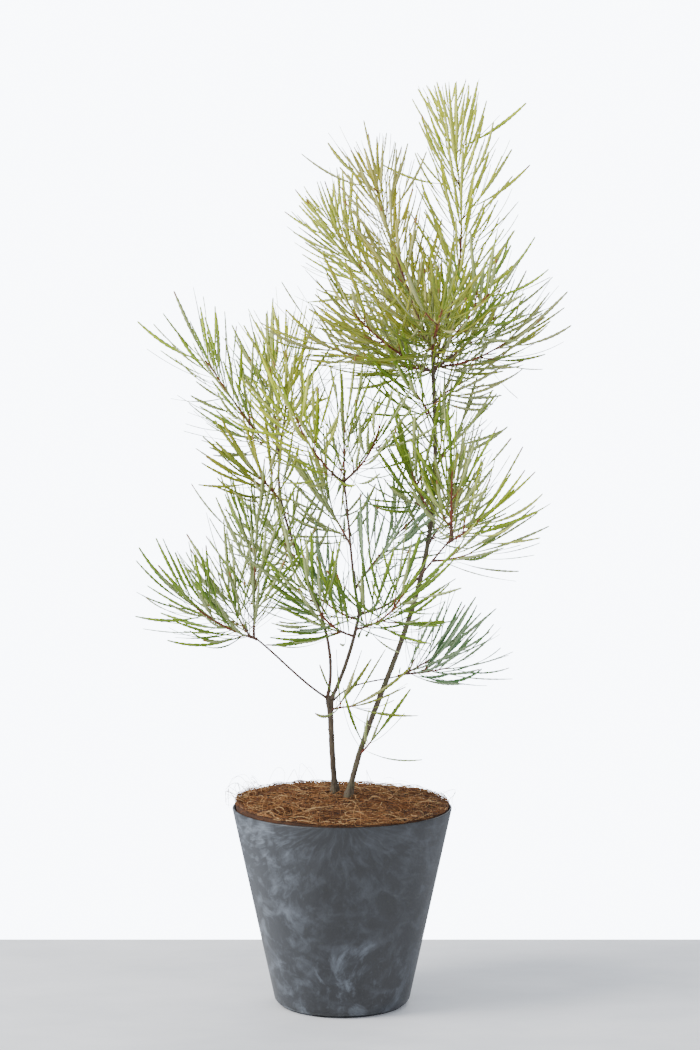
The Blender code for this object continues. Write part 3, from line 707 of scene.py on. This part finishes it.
def leafTries(rng, stem, places, turn):
    # Several tries for each leaf of a stem: golden-angle turns, wide at the foot and narrow at the tip.
    shape = leafShape
    size = (len(places), shape["tries"])
    share = (places / stem.length)[:, None]
    foot, heading = pointsAt(stem.path, places / stem.length)
    leaning = np.abs(heading[:, 2]) < shape["upright"]
    side = np.where(leaning[:, None], np.cross(heading, up), np.cross(heading, [0.0, 1.0, 0.0]))
    side = unit(side)
    other = np.cross(heading, side)
    leafNumbers = np.arange(1, len(places) + 1)[:, None]
    angle = turn + shape["turn"] * leafNumbers + shape["tryTurn"] * np.arange(shape["tries"])
    out = np.cos(angle)[..., None] * side[:, None] + np.sin(angle)[..., None] * other[:, None]
    spread = shape["spreadLow"] + (shape["spreadTip"] - shape["spreadLow"]) * share**shape["spreadPower"]
    spread = spread + rng.normal(0, shape["spreadWander"], size)
    fan = (places > stem.length - shape["fanReach"])[:, None] & (not stem.grows)
    spread = np.where(fan, rng.uniform(*shape["fanSpread"], size), spread)
    along = heading[:, None]
    first = np.cos(spread)[..., None] * along + np.sin(spread)[..., None] * out
    first[..., 2] = np.maximum(first[..., 2], shape["lowest"])
    first = unit(first)
    rise = shape["rise"] * (0.5 + rng.random(size))[..., None]
    middle = unit(first + along * shape["follow"] + up * rise)
    lean = rng.normal(*shape["lean"], size)[..., None]
    last = first * (shape["straight"] + lean) + along * shape["tipFollow"] + up * rise * shape["tipRise"]
    last = unit(last)
    tipShare = np.maximum(0, (share - shape["tipBegins"]) / (1 - shape["tipBegins"]))
    shrink = shape["tipShrink"] * (tipShare**shape["tipPower"] * (1.0 if stem.grows else 0.0))
    length = shape["length"] * (1 - shrink) * (shape["shortest"] + shape["more"] * rng.random(size))
    width = shape["width"] * (1 - 0.5 * shrink[:, 0]) * rng.uniform(*shape["widths"], len(places))
    return foot, heading, np.stack([first, middle, last], -2), length, width


def freest(lines, foot, taken):
    # Each leaf's try that is freest of what is there. A leaf with no try inside the box is dropped.
    shape = leafShape
    low, high = np.array(cadBox[0]) - shape["spare"], np.array(cadBox[1]) + shape["spare"]
    inside = ((lines > low) & (lines < high)).all((-1, -2))
    picks = []
    for k in range(len(foot)):
        near = taken[np.abs(taken - foot[k]).max(-1) < shape["nearby"]]
        gaps = np.linalg.norm(lines[k][:, :, None] - near[None, None], axis=-1).min((1, 2))
        pick = int(np.argmax(np.where(inside[k], np.minimum(gaps, shape["enoughRoom"]), -1)))
        if inside[k, pick]:
            picks.append((k, pick))
            taken = np.vstack([taken, lines[k, pick]])
    rows, which = np.array(picks).T
    return rows, which, taken


def leavesOn(rng, stem, places, turn, taken):
    # The leaves that a stem gets, with each one's share along it, and the points taken since.
    foot, heading, headings, length, width = leafTries(rng, stem, places, turn)
    base = np.broadcast_to(foot[:, None], headings[..., 0, :].shape)
    lines = leafPaths(base, headings, length, np.linspace(0.15, 1, 8))
    rows, which, taken = freest(lines, foot, taken)
    first = headings[rows, which, 0]
    square = np.cross(first, heading[rows])
    faceTurn = leafShape["faceTurn"] * rng.normal(0, 1, (len(rows), 1))
    across = unit(square + faceTurn * unit(np.cross(first, square)))
    rolls = rng.normal(0, leafShape["roll"], len(rows))
    leaves = (foot[rows], headings[rows, which], length[rows, which], across, width[rows], rolls)
    return leaves, (places / stem.length)[rows], taken


def leafColours(rng, shoot, grows, share):
    # Face numbers: the shoot's hue, younger towards its tip, with the odd brown tip and a tawny foot.
    count, tones = len(share), leafTones
    along = tones["alongGrowing" if grows else "alongShoot"]
    age = shoot.youth + along * (share - 0.5) + rng.normal(0, tones["wander"], count)
    step = np.clip(np.rint(age * (hueSteps - 1)), 0, hueSteps - 1).astype(int)
    own = topNumbers[shoot.hue][step]
    outer = topNumbers[shoot.hue][np.minimum(step + 1, hueSteps - 1)]
    dry = rng.random(count) < tones["dryTips"]
    middle = (stationPlaces[1:] + stationPlaces[:-1]) / 2
    top = np.where(middle < tones["outerBegins"], own[:, None], outer[:, None])
    faces = []
    for numbers in (np.broadcast_to(own[:, None] + 1, top.shape), top):
        numbers = np.where((middle > tones["tipBegins"]) & dry[:, None], tipNumber, numbers)
        faces.append(np.where(middle < tones["footEnds"], footNumber, numbers))
    under, top = faces
    ends = np.stack([np.full(count, footNumber), own], -1)
    return np.stack([under, top, top], -1).reshape(-1), ends.reshape(-1)


def twigOn(stem, rng):
    # radius(u, v) = taper x root swelling x (1 + small knobs left by leaves).
    shape = twigShape
    run = lengthAlong(stem.path)
    share = run / run[-1]
    swell = 1 + shape["swell"] * np.exp(-run / shape["swellReach"])
    radius = (stem.root + (stem.tip - stem.root) * share) * swell
    ring = unrolled(ringAngles(shape["sides"]), run)
    return radius[:, None] * (1 + shape["knob"] * ripple(rng, ring, shape["knobScale"]))


def twigColours(stem, youth):
    # Brown at the foot, then reddish, with an olive end where the shoot is young.
    row = np.repeat(np.linspace(0, 1, len(stem.path) - 1), twigShape["sides"])
    foot, middle = (0.18, 0.55) if stem.grows else (0.25, 0.75)
    body = woodNumber["purple" if stem.grows else "red"]
    end = woodNumber["olive" if stem.grows or youth > 0.5 else "red"]
    return np.where(row < foot, woodNumber["brown"], np.where(row < middle, body, end))


# A shoot or a side twig, as its leaves are set on it
Stem = namedtuple("Stem", "path length root tip isShoot grows step first")


def stemsOf(mass, shoot, rng):
    # The shoot, and then its side twigs, each turned from the last by the golden angle.
    path, shape = courses[shoot.name], twigShape
    step = leafShape["step"] * leafShape["stepShares"].get(mass, 1.0)
    stems = [Stem(path, shoot.length, shape["root"], shape["tip"], True, shoot.name in growing, step,
                  leafShape["firstLeaf"])]
    side, other = crossAxes(path)
    for k in range(int(shoot.length / shape["sideStep"])):
        run = (k + shape["sideStart"] + shape["sideLater"] * rng.random()) * shape["sideStep"]
        spot, way = pointsAt(path, [run / shoot.length])
        turn = k * leafShape["turn"] + rng.random()
        out = math.cos(turn) * side[0] + math.sin(turn) * other[0]
        length = rng.uniform(*shape["sideLength"])
        heading = unit(way[0] * shape["sideAlong"] + out * shape["sideOut"])
        later = unit(heading + up * shape["sideRise"])
        twig = growPath(spot[0], [heading, later], length, shape["sideSteps"])
        root = shape["root"] * shape["sideRoot"]
        stems.append(Stem(twig, length, root, root * shape["sideTip"], False, False,
                          length / shape["sideLeaves"], shape["sideFirst"]))
    return stems


def leafPlaces(stem, rng):
    # Uneven steps along the stem, then the leaves that close its end.
    shape = leafShape
    fanLeaves = shape["fanLeaves"] if stem.isShoot else 1
    fanReach = shape["fanReach"] if stem.isShoot else 0.0
    places = np.arange(stem.first, stem.length - fanReach, stem.step)
    ends = stem.length - fanReach * (1 - np.arange(1, fanLeaves + 1) / fanLeaves)
    places = places + rng.uniform(-shape["jitter"], shape["jitter"], len(places)) * stem.step
    return np.clip(np.r_[places, ends], shape["nearestEnd"], stem.length)


def growSprays():
    leafRng = np.random.default_rng(leafShape["seed"])
    twigRng = np.random.default_rng(twigShape["seed"])
    taken = np.vstack([course[::6] for course in courses.values()])
    total = 0
    for group, names in sprays.items():
        leaves, twigs = Pile(), Pile()
        shoots = [(mass, Shoot(*row)) for mass in names for row in masses[mass]]
        for mass, shoot in shoots:
            start = pointsAt(courses[shoot.parent], [shoot.place])[0][0]
            steps = max(twigShape["leastSteps"], int(shoot.length / twigShape["ringStep"]))
            courses[shoot.name] = growPath(start, shoot.headings, shoot.length, steps)
            taken = np.vstack([taken, courses[shoot.name][::4]])
        for mass, shoot in shoots:
            for stem in stemsOf(mass, shoot, twigRng):
                places = leafPlaces(stem, leafRng)
                turn = leafRng.random() * leafShape["startTurns"]
                blades, share, taken = leavesOn(leafRng, stem, places, turn, taken)
                if not stem.isShoot:
                    share = np.full(len(share), twigShape["sidePlace"])
                leaves.put(*leafMeshes(*blades), *leafColours(leafRng, shoot, stem.grows, share))
                wood = twigColours(stem, shoot.youth)
                twigs.put(*tube(stem.path, twigOn(stem, twigRng), twigShape["sides"]), wood, wood[-1])
                total += len(share)
        nodes = ["foliage_" + mass for mass in names]
        leaves.make("leaves_" + group, leafLooks, "leaf", nodes)
        twigs.make("twigs_" + group, leafLooks, "bark", nodes)
    print("leaves", total)


growSprays()

# Pot: the solid's own sizes, read from its box where it gives them
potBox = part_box("pot")
potShape = {
    "height": potBox[1].z,
    "rim": potBox[1].x,
    "base": 0.0735,
    "wall": 0.003,
    "floor": 0.007,
    "foot": 0.0685,
    "footHeight": 0.002,
    "footEdge": 0.0006,
    "heel": 0.0045,
    "innerHeel": 0.004,
    "middle": 0.03,  # radius of the first and last ring
    "sides": 176,
}
# The pale tint is that of the veils, and also of the light painted on the pot's left flank.
potTints = {"dark": (26, 27, 29), "body": (46, 48, 52), "veilAndPaintedLight": (118, 126, 136)}


def potProfile():
    # Half the pot's section as (radius, height): floor, inner wall, round lip, outer wall, round heel, foot.
    s = potShape
    slope = (s["rim"] - s["base"]) / s["height"]
    innerBase = s["base"] + slope * s["floor"] - s["wall"]
    lip = s["wall"] / 2
    lipHeight = s["height"] - lip
    floor = [(s["middle"], s["floor"]), (innerBase - s["innerHeel"], s["floor"])]
    inner = np.stack([np.linspace(innerBase, s["rim"] - s["wall"], 16),
                      np.linspace(s["floor"] + s["innerHeel"], lipHeight, 16)], -1)
    turn = np.linspace(math.pi * 0.97, 0, 12)
    top = np.stack([s["rim"] - lip + lip * np.cos(turn), lipHeight + lip * np.sin(turn)], -1)
    low = s["footHeight"] + s["heel"]
    share = np.linspace(0, 1, 26)[1:]
    outer = np.stack([s["rim"] + (s["base"] + slope * s["heel"] - s["rim"]) * share,
                      lipHeight + (low - s["height"] + lip) * share], -1)
    turn = np.linspace(0.1, math.pi / 2, 8)
    heel = np.stack([s["base"] - s["heel"] + s["heel"] * np.cos(turn), low - s["heel"] * np.sin(turn)], -1)
    foot = [(s["foot"], s["footHeight"]), (s["foot"], s["footEdge"]), (s["foot"] - s["footEdge"], 0.0),
            (s["middle"], 0.0)]
    return np.vstack([floor, inner, top[1:], outer, heel, foot])


def turned(radius, height):
    # P(u, v) = (r(u) cos v, r(u) sin v, z(u, v)), closed by a fan at each end.
    rows, sides = height.shape
    angle = ringAngles(sides)
    wall = np.stack([radius[:, None] * np.cos(angle), radius[:, None] * np.sin(angle), height], -1)
    middles = [[0, 0, height[0].mean()], [0, 0, height[-1].mean()]]
    points = np.vstack([wall.reshape(-1, 3), middles])
    return points, gridFaces(rows, sides)[:, ::-1], endFans(rows, sides)[:, ::-1]


def potLook():
    # Slate grey with pale veils: noise drawn out along lines that fan down from a point on the front rim.
    # The left flank is painted paler, as painted light from the key lamp.
    look = Look("pot_slate")
    place = look.place()
    x, y, z = look.split(place)
    warp = look.noise(place, 9.0, 3.0)
    drop = 0.232 - z
    across = x + 0.03 * (warp - 0.5)
    reach = (across * across + drop * drop)**0.5
    fan = look.add("ShaderNodeMath", {"operation": "ARCTAN2"}, {0: across, 1: drop * 1.6})
    flow = look.add("ShaderNodeCombineXYZ", None, {0: fan * 1.5, 1: reach * 7.0, 2: y * 6.0})
    streaks = look.noise(flow, 7.0, 8.0, 0.62, 0.5)
    veils = look.noise(place, 13.0, 7.0, 0.62, 2.2)
    fleck = look.noise(look.stretch(place, (1.0, 1.0, 0.45)), 210.0, 3.0, 0.6, 0.6)
    # Painted light: paler towards the left flank, where the key lamp falls. The streaks and veils are
    # painted stronger there too.
    paintedLightLeft = look.level(0.0 - x + 0.25 * y, 0.0, 0.10)
    middle = look.level(0.075 - (x * x)**0.5, 0.0, 0.04)
    low = look.level(0.085 + 0.05 * (veils - 0.5) - z, 0.0, 0.02)
    streaksAndPaintedLight = look.level(streaks, 0.48, 0.76) * (0.16 + 0.9 * paintedLightLeft)
    veilsAndPaintedLight = look.level(veils, 0.53, 0.68) * (0.08 + 0.35 * paintedLightLeft + 0.5 * low * middle)
    flecked = 0.16 * look.level(fleck, 0.56, 0.76) * (0.3 + low)
    pale = streaksAndPaintedLight + veilsAndPaintedLight + flecked + 0.16 * paintedLightLeft
    body = look.ramp(veils * 0.6 + streaks * 0.4,
                     [(0.30, tint(*potTints["dark"])), (0.66, tint(*potTints["body"]))])
    look.paint("Base Color", look.blend(pale.atMost(1.0), body, tint(*potTints["veilAndPaintedLight"])))
    look.paint("Roughness", 0.36 + 0.16 * fleck + 0.1 * streaks)
    look.paint("Normal", look.bump(fleck + 0.5 * streaks, 0.12, 0.0006))
    return look


potRadius, potHeight = potProfile().T
potParts = turned(potRadius, np.tile(potHeight[:, None], potShape["sides"]))
makePiece("pot_shell", potParts, [potLook()], "pot", "pot")

# Coir: a rough bed, and fibres laid over it
coirShape = {
    "edge": 0.2205,
    "dome": 0.0075,
    "radius": 0.1163,
    "rows": 42,
    "sides": 150,
    "middle": 0.004,  # radius of the first ring
    "skirt": 0.0006,
    "skirtDrop": 0.006,
    "footRadius": 0.1105,
    "footHeight": 0.1965,
    "sink": 0.0015,
    "fullness": 0.0035,  # how much higher the left edge is
    "tuft": 0.0011,
    "tuftScale": (90.0, 90.0, 0.0),
    "tuftSeed": 5,
}
fibreShape = {
    "steps": 10,
    "thickness": 0.00026,
    "thicknesses": (0.6, 1.35),
    "heaps": {  # strands, their length, arch and curl, and whether they stray
        "coir_fibres_low": (3300, (0.02, 0.055), (0.0, 0.0022), 2.2, False),
        "coir_fibres_top": (2200, (0.02, 0.07), (0.001, 0.006), 2.2, False),
        "coir_wisps": (46, (0.03, 0.06), (0.006, 0.024), 2.6, True),
    },
    "tints": [(50, 28, 14), (100, 60, 28), (134, 84, 42), (172, 122, 72), (212, 174, 122)],
    "tintShares": [0.16, 0.30, 0.27, 0.17, 0.10],
    "limits": [0.1158, 0.1158, 0.1158, 0.1172],  # how far out strands may lie
    "strayLimit": 0.1275,
    "strayFrom": 0.55,
    "strayLeft": 0.6,  # share of the stray strands on the fuller left side
    "bend": 0.5,
    "waves": 6,
    "waveStart": 6.28,
    "gap": 0.0003,
    "overRim": 0.0008,
    "stack": 0.0014,
    "seed": 17,
}


def coirHeight(x, y):
    # Height of the bed: a dome, a fuller left edge, and uneven tufts.
    shape = coirShape
    radius = np.hypot(x, y) / shape["radius"]
    swell = shape["fullness"] * np.clip(radius, 0, 1)**2 * np.clip(-x / 0.1, 0, 1)
    tuftRng = np.random.default_rng(shape["tuftSeed"])
    tufts = shape["tuft"] * ripple(tuftRng, np.stack([x, y, 0 * x], -1), shape["tuftScale"])
    return shape["edge"] - shape["sink"] + shape["dome"] * (1 - np.minimum(radius, 1)**2) + swell + tufts


def coirBed():
    # P(r, v) = (r cos v, r sin v, height), with a skirt down to the soil and a flat underside.
    shape = coirShape
    radius = np.r_[np.linspace(shape["middle"], shape["radius"], shape["rows"]),
                   shape["radius"] - shape["skirt"], shape["footRadius"]]
    angle = ringAngles(shape["sides"])
    height = coirHeight(radius[:, None] * np.cos(angle), radius[:, None] * np.sin(angle))
    height[-2] = shape["edge"] - shape["skirtDrop"]
    height[-1] = shape["footHeight"]
    return turned(radius, height)


def strandLines(rng, count, length, lift, curl, stray):
    # Each strand: xy runs along a heading that turns evenly, z follows the bed plus an arch and a wave.
    shape = fibreShape
    size = (count, 1)
    t = np.linspace(0, 1, shape["steps"])[None]
    far = coirShape["radius"] * np.sqrt(rng.uniform(shape["strayFrom"] if stray else 0, 1, size))
    around = rng.uniform(0, fullTurn, size)
    if stray:
        around = np.where(rng.random(size) < shape["strayLeft"], math.pi + rng.normal(0, 0.5, size), around)
    heading = around + rng.normal(0, 0.9, size) if stray else rng.uniform(0, fullTurn, size)
    reach = rng.uniform(*length, size)
    way = heading + rng.normal(0, curl, size) * (t - 0.5)
    way = way + shape["bend"] * np.sin(shape["waves"] * t + rng.uniform(0, shape["waveStart"], size))
    x = far * np.cos(around) + np.cumsum(np.cos(way), 1) * reach / shape["steps"]
    y = far * np.sin(around) + np.cumsum(np.sin(way), 1) * reach / shape["steps"]
    radius = np.hypot(x, y)
    limit = shape["strayLimit"] if stray else rng.choice(shape["limits"], size)
    shrink = np.minimum(1, limit / radius)
    x, y, radius = x * shrink, y * shrink, radius * shrink
    arch = rng.uniform(*lift, size) * np.sin(math.pi * np.clip(t * rng.uniform(0.7, 1.4, size), 0, 1))
    z = coirHeight(x, y) + shape["gap"] + np.maximum(arch, 0) + rng.uniform(0, shape["stack"], size)
    overRim = np.maximum(z, potShape["height"] + shape["overRim"])
    z = np.where(radius > coirShape["radius"] - 0.001, overRim, z)
    return np.stack([x, y, z], -1)


def fibres(rng, count, length, lift, curl, stray):
    # P(u, v) = line(u) + thickness(u) (cos v side(u) + sin v other(u)), three-sided and closed.
    shape = fibreShape
    steps = shape["steps"]
    line = strandLines(rng, count, length, lift, curl, stray)
    heading = unit(np.gradient(line, axis=1))
    side = unit(np.cross(heading, up))
    other = np.cross(heading, side)
    taper = 1 - 0.5 * np.linspace(0, 1, steps)[None]**3
    thick = shape["thickness"] * rng.uniform(*shape["thicknesses"], (count, 1)) * taper
    turn = np.array([0.0, 2.1, 4.2])[:, None]
    around = np.cos(turn) * side[:, :, None] + np.sin(turn) * other[:, :, None]
    points = line[:, :, None] + thick[..., None, None] * around
    base = (np.arange(count) * steps * 3)[:, None, None]
    quads = (base + gridFaces(steps, 3)[None]).reshape(-1, 4)
    fans = base + np.array([[0, 2, 1], [steps * 3 - 3, steps * 3 - 2, steps * 3 - 1]])[None]
    looks = rng.choice(len(shape["tints"]), count, p=shape["tintShares"])
    return (points.reshape(-1, 3), quads, fans.reshape(-1, 3),
            np.repeat(looks, (steps - 1) * 3), np.repeat(looks, 2))


def bedLook():
    look = Look("coir_bed")
    place = look.place()
    hairs = look.noise(look.stretch(place, (260.0, 900.0, 500.0)), 1.0, 5.0, 0.7, 1.5)
    clumps = look.noise(place, 80.0, 3.0)
    colour = look.ramp(hairs * 0.6 + clumps * 0.4, [(0.36, tint(28, 16, 9)), (0.64, tint(92, 56, 28))])
    look.paint("Base Color", colour)
    look.paint("Roughness", 0.85 + 0.1 * clumps)
    look.paint("Normal", look.bump(hairs, 0.9, 0.0012))
    return look


makePiece("coir_bed", coirBed(), [bedLook()], "coir", "coir")
fibreRng = np.random.default_rng(fibreShape["seed"])
strandLooks = [Look(f"coir_strand_{k}", Base_Color=tint(*colour), Roughness=0.85)
               for k, colour in enumerate(fibreShape["tints"])]
for name, heap in fibreShape["heaps"].items():
    makePiece(name, fibres(fibreRng, *heap), strandLooks, "coir", "coir")


def soilLook():
    look = Look("soil_dark")
    crumbs = look.noise(look.place(), 420.0, 5.0, 0.7)
    look.paint("Base Color", look.ramp(crumbs, [(0.35, tint(38, 28, 22)), (0.66, tint(86, 66, 50))]))
    look.paint("Roughness", 0.85 + 0.12 * crumbs)
    look.paint("Normal", look.bump(crumbs, 0.8, 0.0015))
    return look


# Soil: the solid's shape is right, and it lies under the coir
soil = frame["nodes"]["soil"]
soil.data.materials.clear()
soil.data.materials.append(soilLook().material)
print("pot, coir and soil done")

# Floor, light and camera
stageShape = {
    "back": 0.285,  # where the floor's far edge lies behind the pot's middle
    "front": 3.4,
    "half": 2.6,
    "thick": 0.05,
    "gap": 0.0001,  # how far the floor lies under the pot
}
lamps = {  # place, aim, size, power and colour
    "key": ((-2.2, -0.9, 2.0), (0.0, 0.0, 0.45), 1.4, 105.0, (1.0, 0.985, 0.96)),
    "fill": ((2.2, -2.2, 1.4), (0.0, 0.0, 0.5), 2.0, 16.0, (0.95, 0.98, 1.0)),
    "rim": ((0.8, 1.9, 1.9), (0.0, 0.0, 0.6), 1.4, 18.0, (1.0, 1.0, 1.0)),
}
studio = {
    "colour": tint(236, 243, 255),
    "light": 0.95,  # what the backdrop gives the object
    "seen": 11.0,  # how bright the backdrop itself looks
}
camera = {
    "place": (0.0086, -3.021, 0.807),
    "pitch": 84.70,
    "lens": 96.0,
    "sensor": 36.0,
}


def stageSlab():
    s = stageShape
    corners = [(x, y, z) for z in (-s["thick"], -s["gap"]) for y in (-s["front"], s["back"])
               for x in (-s["half"], s["half"])]
    sides = [(0, 2, 3, 1), (4, 5, 7, 6), (0, 1, 5, 4), (2, 6, 7, 3), (0, 4, 6, 2), (1, 3, 7, 5)]
    mesh = bpy.data.meshes.new("floor")
    mesh.from_pydata(corners, [], sides)
    look = Look("floor_pale")
    cloud = look.noise(look.stretch(look.place(), (1.0, 2.0, 1.0)), 5.0, 6.0, 0.6)
    look.paint("Base Color", look.ramp(cloud, [(0.35, tint(236, 237, 239)), (0.68, tint(251, 251, 252))]))
    look.paint("Roughness", 0.6 + 0.2 * cloud)
    mesh.materials.append(look.material)
    addObject("floor", mesh)


def lamp(name, place, aim, size, power, colour):
    data = bpy.data.lights.new(name, "AREA")
    data.shape = "DISK"
    data.size = size
    data.energy = power
    data.color = colour
    lampObject = addObject(name, data)
    lampObject.location = place
    lampObject.rotation_euler = (Vector(aim) - Vector(place)).to_track_quat("-Z", "Y").to_euler()


def backdrop():
    # The camera sees the backdrop brighter than it lights the object.
    world = bpy.data.worlds.new("studio")
    bpy.context.scene.world = world
    world.use_nodes = True
    nodes, links = world.node_tree.nodes, world.node_tree.links
    nodes["Background"].inputs["Color"].default_value = studio["colour"]
    rays = nodes.new("ShaderNodeLightPath")
    level = nodes.new("ShaderNodeMapRange")
    level.inputs["To Min"].default_value = studio["light"]
    level.inputs["To Max"].default_value = studio["seen"]
    links.new(rays.outputs["Is Camera Ray"], level.inputs["Value"])
    links.new(level.outputs["Result"], nodes["Background"].inputs["Strength"])


stageSlab()
for name, settings in lamps.items():
    lamp(name, *settings)
backdrop()
cameraData = bpy.data.cameras.new("camera")
cameraData.lens = camera["lens"]
cameraData.sensor_width = camera["sensor"]
cameraObject = addObject("camera", cameraData)
cameraObject.location = camera["place"]
cameraObject.rotation_euler = (math.radians(camera["pitch"]), 0.0, 0.0)
bpy.context.scene.camera = cameraObject
print("stage done")
